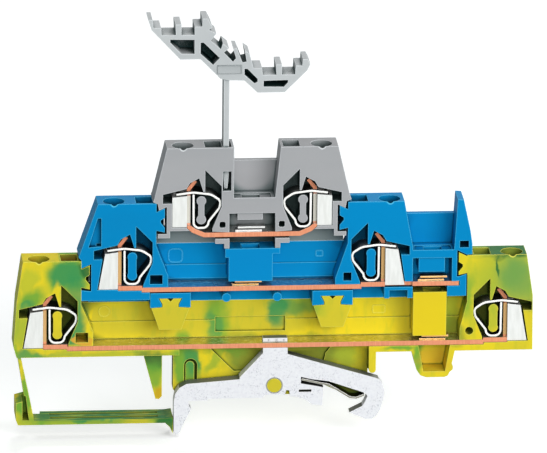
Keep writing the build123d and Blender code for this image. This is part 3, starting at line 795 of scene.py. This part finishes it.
@dataclass(frozen=True)
class Studio:
    """White floor that keeps a soft shadow, a faint cool dome and four soft lamps.

    floor_height is in millimetres and floor_side in metres.
    """

    floor_height: float = -7.2
    floor_side: float = 9.0
    cool: Colour = (0.86, 1.0, 1.01, 1.0)
    dome: float = 0.17
    bounce: float = 0.42
    floor_shade: float = 0.85
    floor_glow: float = 0.45
    lamps: tuple[Lamp, ...] = (
        Lamp("key_right", (0.52, -0.78, 0.34), distance=1.5, side=0.9, power=14.0),
        Lamp("front", (-0.04, -0.96, 0.28), distance=2.6, side=0.8, power=21.0),
        Lamp("above", (-0.1, -0.3, 0.95), distance=1.3, side=0.9, power=3.0),
        Lamp("behind", (0.2, 0.78, 0.6), distance=1.5, side=0.5, power=8.0),
    )

    def floor(self) -> None:
        """Lays the floor under the foot: white where it is seen, and a faint cool light on the part."""
        bpy.ops.object.select_all(action="DESELECT")
        bpy.ops.mesh.primitive_plane_add(size=self.floor_side, location=(0, 0, self.floor_height * MM))
        ground = bpy.context.active_object
        ground.name = "studio_floor"
        recipe = Recipe("studio_floor")
        plain = (self.floor_shade, self.floor_shade, self.floor_shade, 1.0)
        matt = recipe.node("ShaderNodeBsdfDiffuse", {}, {"Color": plain})
        dim = tuple(self.bounce * channel for channel in self.cool[:3]) + (1.0,)
        bounce = recipe.node("ShaderNodeBsdfDiffuse", {}, {"Color": dim})
        glow = recipe.node("ShaderNodeEmission", {}, {"Strength": self.floor_glow})
        white = recipe.node("ShaderNodeAddShader", {}, {0: matt.outputs[0], 1: glow.outputs[0]})
        sockets = {0: recipe.shown(), 1: bounce.outputs[0], 2: white.outputs[0]}
        swap = recipe.node("ShaderNodeMixShader", {}, sockets)
        recipe.plug(recipe.output.inputs["Surface"], swap.outputs[0])
        recipe.tree.nodes.remove(recipe.shader)
        ground.data.materials.append(recipe.material)

    def surround(self) -> None:
        """Gives the world a soft dome of light that the camera and reflections see as white."""
        world = bpy.data.worlds.new("studio_dome")
        world.use_nodes = True
        wiring = Wiring(world.node_tree)
        dome = wiring.node("ShaderNodeBackground", {}, {0: self.cool, 1: self.dome})
        seen = wiring.node("ShaderNodeBackground", {}, {0: (1.0, 1.0, 1.0, 1.0), 1: 1.0})
        sockets = {0: wiring.shown(), 1: dome.outputs[0], 2: seen.outputs[0]}
        swap = wiring.node("ShaderNodeMixShader", {}, sockets)
        wiring.node("ShaderNodeOutputWorld", {}, {0: swap.outputs[0]})
        bpy.context.scene.world = world

    def build(self) -> None:
        """Sets up floor, surround and lamps."""
        self.floor()
        self.surround()
        for lamp in self.lamps:
            lamp.hang()


# Painted shade in the hollows and creases of each moulding, and painted highlights along its edges.
YELLOW_PAINTED_SHADE = PaintedShading(
    middle="8a8a2a",
    deep="4a5520",
    line="2c4a18",
    rim="f2ea62",
    # the glows tint the painted shade rust, olive or amber in the heads' chambers, the pockets, the catch
    # and the left end
    shade_tints=(
        Drift(-44.0, 29.0, 6.5, 2.6, Pigment.RUST),
        Drift(43.0, 29.0, 6.5, 2.6, Pigment.OLIVE),
        Drift(-38.0, 14.0, 1.7, 1.5, Pigment.RUST),
        Drift(38.2, 14.0, 1.2, 1.2, Pigment.OLIVE),
        Drift(31.0, 8.0, 3.4, 3.0, Pigment.AMBER, strength=0.45),
        Drift(-50.0, -0.5, 1.2, 3.4, Pigment.RUST),
    ),
    quiet=(Drift(-35.0, -3.4, 15.5, 2.4, strength=0.85, softness=0.1),),
    lit=(
        Drift(-38.9, 13.9, 1.9, 1.5, strength=0.7),
        Drift(-50.0, -0.4, 1.1, 3.6, strength=0.7),
        Drift(-45.8, 26.4, 3.4, 3.6, strength=0.55),
        Drift(31.2, 8.4, 4.6, 3.8),
        Drift(-20.0, 16.0, 19.0, 6.4, softness=0.2),
        Drift(3.0, 16.0, 20.0, 6.4, softness=0.2),
        Drift(22.0, 16.0, 15.0, 6.4, softness=0.2),
        Drift(35.4, 15.6, 2.8, 5.8, strength=0.95),
    ),
)
BLUE_PAINTED_SHADE = PaintedShading(
    middle="086a9e",
    deep="0b4058",
    line="04304c",
    rim="58c8f0",
    lit=(
        Drift(30.7, 26.0, 4.4, 4.0),
        Drift(30.4, 33.5, 4.6, 4.6),
        Drift(-14.0, 28.0, 11.0, 4.4, softness=0.2),
        Drift(4.0, 28.0, 11.0, 4.4, softness=0.2),
        Drift(-5.0, 27.0, 12.0, 5.0, softness=0.2),
    ),
)
GREY_PAINTED_SHADE = PaintedShading(
    middle="6d7b7b",
    deep="2a3836",
    line="2b3a3a",
    rim="e2e5e7",
    lit=(Drift(-5.3, 36.4, 4.4, 2.8, strength=0.6), Drift(-5.0, 47.0, 5.0, 5.0)),
)
CARRIER_PAINTED_SHADE = PaintedShading(
    middle="54696a",
    deep="1c3130",
    line="30494a",
    rim="e6e9ea",
    reach=3.0,
    dark_at=0.5,
    edge_width=0.34,
)
# on the carrier plate the outer edges are coloured darker than the plate, not lighter
PLATE_PAINTED_SHADE = PaintedShading(
    middle="7a8888",
    deep="3c4a4a",
    line="4a5858",
    rim="566362",
    reach=3.0,
    dark_at=0.42,
    edge_width=0.16,
)

MARBLED = MarbledPlastic(
    name="housing_yellow_green",
    hollow=YELLOW_PAINTED_SHADE,
    drifts=(
        # deck wall
        Drift(-15.0, 16.0, 26.0, 4.2, Pigment.STRAW, softness=0.2),
        # left head, its wall and the rim under it
        Drift(-49.9, 25.2, 1.6, 2.6, Pigment.LIME, strength=0.6),
        Drift(-41.9, 26.8, 4.4, 3.4, Pigment.LEAF),
        Drift(-42.0, 27.2, 3.4, 2.3, Pigment.GREEN, strength=0.85),
        Drift(-40.4, 22.4, 1.7, 4.2, Pigment.GREEN, strength=0.75),
        Drift(-38.0, 28.0, 1.4, 1.3, Pigment.PINE),
        Drift(-49.2, 21.8, 3.2, 1.7, Pigment.LEAF, lean=30.0),
        Drift(-50.0, 21.0, 1.6, 0.9, Pigment.GREEN, lean=30.0, strength=0.7),
        Drift(-43.6, 23.3, 0.8, 2.6, Pigment.YELLOW),
        Drift(-51.9, 17.5, 0.7, 8.0, Pigment.LIME, strength=0.7),
        Drift(-50.0, 15.5, 1.6, 4.5, Pigment.LIME, strength=0.8),
        Drift(-30.0, 10.3, 20.0, 0.9, Pigment.LIME, strength=0.55, softness=0.3),
        Drift(-48.6, 10.2, 3.6, 1.0, Pigment.GREEN, strength=0.8),
        Drift(-39.5, 17.0, 2.0, 4.4, Pigment.GREEN),
        Drift(-40.6, 14.0, 1.4, 1.6, Pigment.GREEN),
        Drift(-37.2, 14.8, 0.5, 3.4, Pigment.YELLOW, lean=-16.0),
        Drift(-52.2, 9.0, 1.0, 4.0, Pigment.LEAF, strength=0.8),
        # clouds on the deck wall
        Drift(-11.6, 16.2, 1.9, 5.4, Pigment.LEAF, strength=0.8, softness=0.7),
        Drift(-12.3, 14.6, 1.2, 2.6, Pigment.GREEN, strength=0.6),
        Drift(4.8, 18.9, 5.0, 2.2, Pigment.LIME, strength=0.9),
        Drift(3.0, 18.2, 4.2, 1.6, Pigment.GREEN, strength=0.5),
        Drift(0.3, 17.4, 1.9, 3.4, Pigment.GREEN),
        # lower wall behind the foot
        Drift(-17.9, 7.4, 3.0, 5.0, Pigment.LEAF, softness=0.3),
        Drift(-16.6, 7.8, 1.7, 3.4, Pigment.GREEN, strength=0.7),
        Drift(-14.7, 7.2, 0.6, 4.2, Pigment.YELLOW),
        Drift(-12.4, 8.0, 1.0, 3.8, Pigment.LIME, lean=-35.0),
        Drift(-6.2, 8.8, 5.4, 3.4, Pigment.OLIVE, lean=-45.0, softness=0.35),
        Drift(-8.6, 9.8, 2.8, 1.4, Pigment.LEAF, strength=0.6),
        Drift(6.4, 9.0, 6.4, 3.2, Pigment.OLIVE, softness=0.3),
        Drift(14.0, 8.4, 2.6, 2.2, Pigment.LIME),
        # rim and wall beside the catch
        Drift(24.6, 10.5, 3.2, 0.8, Pigment.LEAF),
        Drift(28.2, 8.4, 1.0, 4.2, Pigment.LEAF, lean=-14.0),
        # release lever
        Drift(-34.0, -3.4, 16.0, 1.4, Pigment.LEAF, softness=0.2),
        Drift(-35.8, -3.6, 4.4, 2.0, Pigment.GREEN),
        Drift(-34.0, -4.4, 16.0, 0.9, Pigment.LIME, strength=0.8, softness=0.3),
        Drift(-43.0, -4.0, 3.0, 1.4, Pigment.LIME, strength=0.7),
        Drift(-28.0, -4.0, 2.8, 1.4, Pigment.STRAW, strength=0.8),
        Drift(-22.0, -4.4, 1.8, 2.4, Pigment.PINE),
        Drift(-50.4, -2.6, 2.2, 3.4, Pigment.LIME, strength=0.6),
        Drift(-49.2, 3.6, 1.8, 7.0, Pigment.LEAF, lean=-10.0, softness=0.3),
        # stop finger: the dark green at its top is painted shadow under the rim, fading to leaf green and
        # amber towards its tip
        Drift(-24.6, 8.8, 3.6, 2.4, Pigment.PINE),
        Drift(-24.2, 5.6, 2.4, 2.6, Pigment.LEAF, strength=0.8),
        Drift(-23.3, 1.4, 1.2, 1.6, Pigment.AMBER, strength=0.6),
        # wall beside the right head, and its web
        Drift(34.6, 16.6, 2.0, 4.6, Pigment.LIME, strength=0.8),
        Drift(35.4, 13.4, 2.4, 2.4, Pigment.OLIVE, strength=0.7),
        Drift(38.2, 21.6, 1.2, 4.6, Pigment.LEAF, strength=0.8),
        # right head
        Drift(45.6, 25.0, 8.0, 5.6, Pigment.LIME, strength=0.8, softness=0.5),
        Drift(48.0, 25.0, 4.2, 5.2, Pigment.SAGE, strength=0.85, softness=0.6),
        Drift(47.2, 25.6, 2.2, 2.8, Pigment.GREEN, strength=0.35, softness=0.7),
        Drift(44.3, 27.6, 0.35, 1.9, Pigment.PINE, lean=4.0),
        Drift(47.0, 30.2, 5.0, 1.0, Pigment.PINE, strength=0.8),
        Drift(42.9, 16.2, 1.3, 3.4, Pigment.LIME, strength=0.6),
        Drift(39.0, 16.6, 0.8, 3.4, Pigment.LIME, strength=0.5),
        # pivot pin, and painted shade in the pockets (orange) and in the gap at the right end (dark green)
        Drift(-0.5, 3.3, 1.7, 1.7, Pigment.STRAW, softness=0.1),
        Drift(-38.9, 13.9, 1.5, 1.2, Pigment.ORANGE, softness=0.15),
        Drift(31.3, 7.2, 3.4, 1.8, Pigment.ORANGE, strength=0.4),
        Drift(49.6, 19.6, 1.6, 0.9, Pigment.PINE, strength=0.8),
    ),
    streaks=(
        Streaks(
            Drift(-34.5, -3.0, 14.5, 0.9, Pigment.PINE, softness=0.2),
            grain=0.9,
            stretch=(8.0, 1.0, 0.6),
            share=0.56,
        ),
        Streaks(
            Drift(-34.5, -3.0, 14.5, 0.9, Pigment.OLIVE, softness=0.2),
            grain=0.7,
            stretch=(9.0, 1.3, 0.6),
            share=0.36,
        ),
        Streaks(
            Drift(-34.0, 10.2, 16.0, 1.2, Pigment.GREEN, strength=0.7),
            grain=1.2,
            stretch=(4.0, 1.0, 0.6),
            share=0.42,
        ),
        Streaks(
            Drift(-47.8, 29.8, 5.2, 0.8, Pigment.YELLOW, softness=0.2),
            grain=3.0,
            share=0.85,
        ),
        Streaks(
            Drift(-41.0, 29.8, 2.2, 0.8, Pigment.LEAF, softness=0.2),
            grain=2.0,
            share=0.62,
        ),
        Streaks(
            Drift(45.8, 29.8, 5.8, 0.8, Pigment.PINE, softness=0.2),
            grain=2.4,
            stretch=(1.6, 1.0, 1.0),
            share=0.66,
        ),
        Streaks(
            Drift(39.6, 29.8, 2.4, 0.8, Pigment.SAGE, softness=0.2),
            grain=2.0,
            share=0.7,
        ),
    ),
)
GRAINY_SKIN = Skin(grain_depth=0.03)
# painted shade on the grey wall under the top deck
SHADE_UNDER_TOP_DECK = Dusk("6f7f7e", top=35.2)
FOOT_PIVOT = Ring(-0.5, 3.3, radius=1.52)

Finish = MarbledPlastic | MouldedPlastic | TinnedBar | BrightMetal
FINISHES: dict[str, Finish] = {
    "bottom_housing": MARBLED,
    "bottom_shaft_block": MouldedPlastic("block_yellow", "ecd026", "e2c62c", YELLOW_PAINTED_SHADE),
    "middle_housing": MouldedPlastic("housing_blue", "048bc8", "0a82bb", BLUE_PAINTED_SHADE),
    "middle_shaft_block": MouldedPlastic("block_blue", "078bca", "0a86c4", BLUE_PAINTED_SHADE),
    "top_housing": MouldedPlastic("housing_grey", "adacae", "a1a2a5", GREY_PAINTED_SHADE, dusk=SHADE_UNDER_TOP_DECK),
    "marker_carrier": MouldedPlastic("carrier_grey", "c6c8c9", "b4b7b9", CARRIER_PAINTED_SHADE, GRAINY_SKIN),
    "carrier_plate": MouldedPlastic("carrier_plate", "babdbe", "abaeb0", PLATE_PAINTED_SHADE, GRAINY_SKIN),
    # the mirror colours are painted reflections of each deck's wall, and the top bar's brass is a grey
    # painted shade
    "bottom_busbar": TinnedBar("tinned_bar_bottom", level=12.15, tongue_at=19.4, mirror="a8a23c"),
    "middle_busbar": TinnedBar("tinned_bar_middle", level=24.1, tongue_at=31.35, mirror="3f7f9c"),
    "top_busbar": TinnedBar(
        "tinned_bar_top", level=36.3, tongue_at=42.75, mirror="a9abac", upright_shade="d8d4c8"
    ),
    "clamp_spring": BrightMetal("spring_strip", "f6f5f0", "dcdcd6", roughness=0.3, metallic=0.5, cave_shade=0.6),
    "wire_pocket": BrightMetal(
        "pocket_sheet",
        "e9e9e6",
        "cfcfca",
        roughness=0.5,
        metallic=0.2,
        stretch=(1.0, 1.0, 6.0),
        cave_shade=0.3,
    ),
    "rail_foot": BrightMetal(
        "plated_foot",
        "e6e6e9",
        "d8d7de",
        roughness=0.55,
        metallic=0.2,
        stretch=(1.0, 1.0, 1.0),
        speckle=0.6,
        cave_shade=0.3,
        # a dark painted reflection of the deck on the foot's upper faces
        roof_reflection="343d1c",
        ring=FOOT_PIVOT,
    ),
    "foot_leaf_spring": BrightMetal("leaf_strip", "8d8c80", "5c5b50", roughness=0.3),
    "jumper_contact_top": BrightMetal(
        "contact_strip_plated", "e8e8e6", "c4c4c0", roughness=0.25, metallic=0.6
    ),
    "jumper_contact": BrightMetal("contact_strip", "f2b562", "c8863a", roughness=0.25, rim="fff0d8"),
}


def finish_of(node: str) -> Finish:
    """Finds the first finish whose name the node's name holds."""
    for part, finish in FINISHES.items():
        if part in node:
            return finish
    raise KeyError(node)


class Wardrobe:
    """Builds each finish once and hands out its material."""

    def __init__(self) -> None:
        """Starts with no material built."""
        self.built: dict[str, bpy.types.Material] = {}

    def material(self, part: str) -> bpy.types.Material:
        """The material for a node or piece, built the first time that it is asked for."""
        finish = finish_of(part)
        if finish.name not in self.built:
            self.built[finish.name] = finish.material()
        return self.built[finish.name]

    def dress(self, piece: bpy.types.Object, part: str) -> None:
        """Gives a mesh the material of a node.

        Args:
            piece: The mesh.
            part: The node whose finish it takes.
        """
        piece.data.materials.clear()
        piece.data.materials.append(self.material(part))
        LOG.info("dressed %s as %s", piece.name, part)


class Bench:
    """The steps that shape a small piece from a primitive, as by hand."""

    disc_sides = 28
    corner_segments = 5
    rim_slope = 0.25
    roll_segments = 2
    roll_angle = math.radians(40)
    smooth_angle = math.radians(35)
    straight = 0.9

    def __init__(self, wardrobe: Wardrobe) -> None:
        """Keeps the finishes that pieces are dressed in."""
        self.wardrobe = wardrobe

    def bar(self, name: str, low: Point, high: Point) -> bpy.types.Object:
        """Starts an upright box between two corners.

        Args:
            name: The piece's name.
            low: The lowest corner in millimetres.
            high: The highest corner in millimetres.

        Returns:
            The box, with its place in its mesh.
        """
        bpy.ops.object.select_all(action="DESELECT")
        middle = [(a + b) / 2 * MM for a, b in zip(low, high)]
        spans = [(b - a) * MM for a, b in zip(low, high)]
        bpy.ops.mesh.primitive_cube_add(size=1, location=middle, scale=spans)
        return self._settled(name)

    def disc(self, name: str, middle: Point, radius: float, depth: float) -> bpy.types.Object:
        """Starts a round disc that looks to the open front.

        Args:
            name: The piece's name.
            middle: Its middle in millimetres.
            radius: Its radius in millimetres.
            depth: How thick it is in millimetres.

        Returns:
            The disc, with its place in its mesh.
        """
        bpy.ops.object.select_all(action="DESELECT")
        bpy.ops.mesh.primitive_cylinder_add(
            vertices=self.disc_sides,
            radius=radius * MM,
            depth=depth * MM,
            location=[v * MM for v in middle],
            rotation=(math.pi / 2, 0.0, 0.0),
        )
        return self._settled(name)

    def _settled(self, name: str) -> bpy.types.Object:
        """Names the new primitive and moves its place into its mesh."""
        piece = bpy.context.active_object
        piece.name = name
        bpy.ops.object.transform_apply(location=True, rotation=True, scale=True)
        return piece

    def _edit(self, piece: bpy.types.Object, chosen: FaceTest) -> None:
        """Enters edit mode with only the chosen faces selected."""
        bpy.context.view_layer.objects.active = piece
        bpy.ops.object.mode_set(mode="EDIT")
        bpy.context.tool_settings.mesh_select_mode = (False, False, True)
        bpy.ops.mesh.select_all(action="DESELECT")
        bpy.ops.object.mode_set(mode="OBJECT")
        for face in piece.data.polygons:
            face.select = chosen(face)
        bpy.ops.object.mode_set(mode="EDIT")

    def round_corners(self, piece: bpy.types.Object, radius: float) -> None:
        """Rounds the four edges that run through the width of a box.

        Args:
            piece: The box.
            radius: The corner radius in millimetres.
        """
        self._edit(piece, lambda face: False)
        bpy.context.tool_settings.mesh_select_mode = (False, True, False)
        bpy.ops.object.mode_set(mode="OBJECT")
        spots = piece.data.vertices
        for edge in piece.data.edges:
            way = (spots[edge.vertices[0]].co - spots[edge.vertices[1]].co).normalized()
            edge.select = abs(way.y) > self.straight
        bpy.ops.object.mode_set(mode="EDIT")
        bpy.ops.mesh.bevel(offset=radius * MM, segments=self.corner_segments, affect="EDGES")
        bpy.ops.object.mode_set(mode="OBJECT")

    def dish(self, piece: bpy.types.Object, rim: float, depth: float) -> None:
        """Insets the front face and pushes it in, so that a rim stands around it.

        Args:
            piece: The box or disc.
            rim: The rim's width in millimetres.
            depth: How far the middle goes in, in millimetres.
        """
        self._edit(piece, lambda face: face.normal.y < -self.straight)
        bpy.ops.mesh.inset(thickness=rim * MM, depth=0.0)
        bpy.ops.mesh.inset(thickness=rim * self.rim_slope * MM, depth=-depth * MM)
        bpy.ops.object.mode_set(mode="OBJECT")

    def soften(self, piece: bpy.types.Object, width: float) -> None:
        """Rolls all sharp edges over with an applied bevel.

        Args:
            piece: The piece.
            width: The bevel's width in millimetres.
        """
        bevel = piece.modifiers.new("rolled_edges", "BEVEL")
        bevel.width = width * MM
        bevel.segments = self.roll_segments
        bevel.limit_method = "ANGLE"
        bevel.angle_limit = self.roll_angle
        bpy.context.view_layer.objects.active = piece
        bpy.ops.object.modifier_apply(modifier=bevel.name)

    def deliver(self, piece: bpy.types.Object, part: str, body: str = "block") -> None:
        """Smooths, dresses and mounts a finished piece.

        Args:
            piece: The piece.
            part: The node whose finish it takes.
            body: The body that it rides on.
        """
        bpy.ops.object.select_all(action="DESELECT")
        piece.select_set(True)
        bpy.context.view_layer.objects.active = piece
        bpy.ops.object.shade_smooth_by_angle(angle=self.smooth_angle)
        self.wardrobe.dress(piece, part)
        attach(piece, body)


@dataclass
class CarrierPlate:
    """The framed plate on the marker carrier, left bare."""

    left: float = -12.4
    right: float = -7.55
    low: float = 67.95
    high: float = 69.7
    front: float = -2.93
    behind: float = -2.5
    rim: float = 0.16
    sink: float = 0.11
    roll: float = 0.03

    def build(self, bench: Bench) -> None:
        """Models the frame and hands it over."""
        near_corner = (self.left, self.front, self.low)
        far_corner = (self.right, self.behind, self.high)
        plate = bench.bar("carrier_plate", near_corner, far_corner)
        bench.dish(plate, self.rim, self.sink)
        bench.soften(plate, self.roll)
        bench.deliver(plate, "carrier_plate", "marker carrier")


@dataclass
class StakedTab:
    """Punch marks on the foot's tab, where it was staked over the bottom bar."""

    places: tuple[tuple[float, float], ...] = ((-1.7, 0.17), (-0.1, 0.26), (1.35, 0.17))
    height: float = 12.6
    front: float = -2.3
    stand: float = 0.1
    lip_share: float = 0.35
    dimple_share: float = 1.4
    roll: float = 0.02

    def build(self, bench: Bench) -> None:
        """Models each punch mark as a raised lip around a dimple."""
        for number, (x, radius) in enumerate(self.places):
            middle = (x, self.front, self.height)
            mark = bench.disc(f"stake_mark_{number}", middle, radius, self.stand * 2)
            bench.dish(mark, radius * self.lip_share, self.stand * self.dimple_share)
            bench.soften(mark, self.roll)
            bench.deliver(mark, "rail_foot")


@dataclass
class MouldMark:
    """A shallow raised frame or ring that a mould insert leaves on a flat wall."""

    name: str
    part: str
    slot: str
    x: float
    z: float
    wide: float
    high: float
    wall: float = 1.8
    corner: float = 0.35
    stand: float = 0.07
    rim: float = 0.14
    sink_share: float = 0.9
    roll: float = 0.015

    def build(self, bench: Bench) -> None:
        """Models the frame, round where it is as wide as its corners allow."""
        half_wide, half_high = self.wide / 2, self.high / 2
        low = (self.x - half_wide, self.wall - self.stand, self.z - half_high)
        high = (self.x + half_wide, self.wall + self.stand, self.z + half_high)
        mark = bench.bar(self.name, low, high)
        bench.round_corners(mark, self.corner)
        bench.dish(mark, self.rim, self.stand * self.sink_share)
        bench.soften(mark, self.roll)
        bench.deliver(mark, self.part)


YELLOW_WALL = ("bottom_housing", "housing_yellow_green")
BLUE_WALL = ("middle_housing", "housing_blue")
MOULD_MARKS = (
    MouldMark("mould_mark_panel_left", *YELLOW_WALL, x=-34.1, z=17.8, wide=2.4, high=2.4, corner=1.15),
    MouldMark("mould_mark_panel_right", *YELLOW_WALL, x=20.6, z=17.4, wide=2.7, high=1.8),
    MouldMark("mould_mark_deck_left", *BLUE_WALL, x=-20.0, z=29.2, wide=3.0, high=3.0, corner=0.9),
    MouldMark("mould_mark_deck_right", *BLUE_WALL, x=8.6, z=29.2, wide=1.6, high=1.4),
)


def main() -> None:
    """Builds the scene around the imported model."""
    logging.basicConfig(level=logging.INFO, format="%(message)s")
    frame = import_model()
    wardrobe = Wardrobe()
    for name, node in frame["nodes"].items():
        wardrobe.dress(node, name)
    bench = Bench(wardrobe)
    CarrierPlate().build(bench)
    StakedTab().build(bench)
    for mark in MOULD_MARKS:
        mark.build(bench)
    Studio().build()
    PhotoCamera().build()
    bpy.context.scene.view_settings.view_transform = "Standard"


if __name__ == "__main__":
    main()
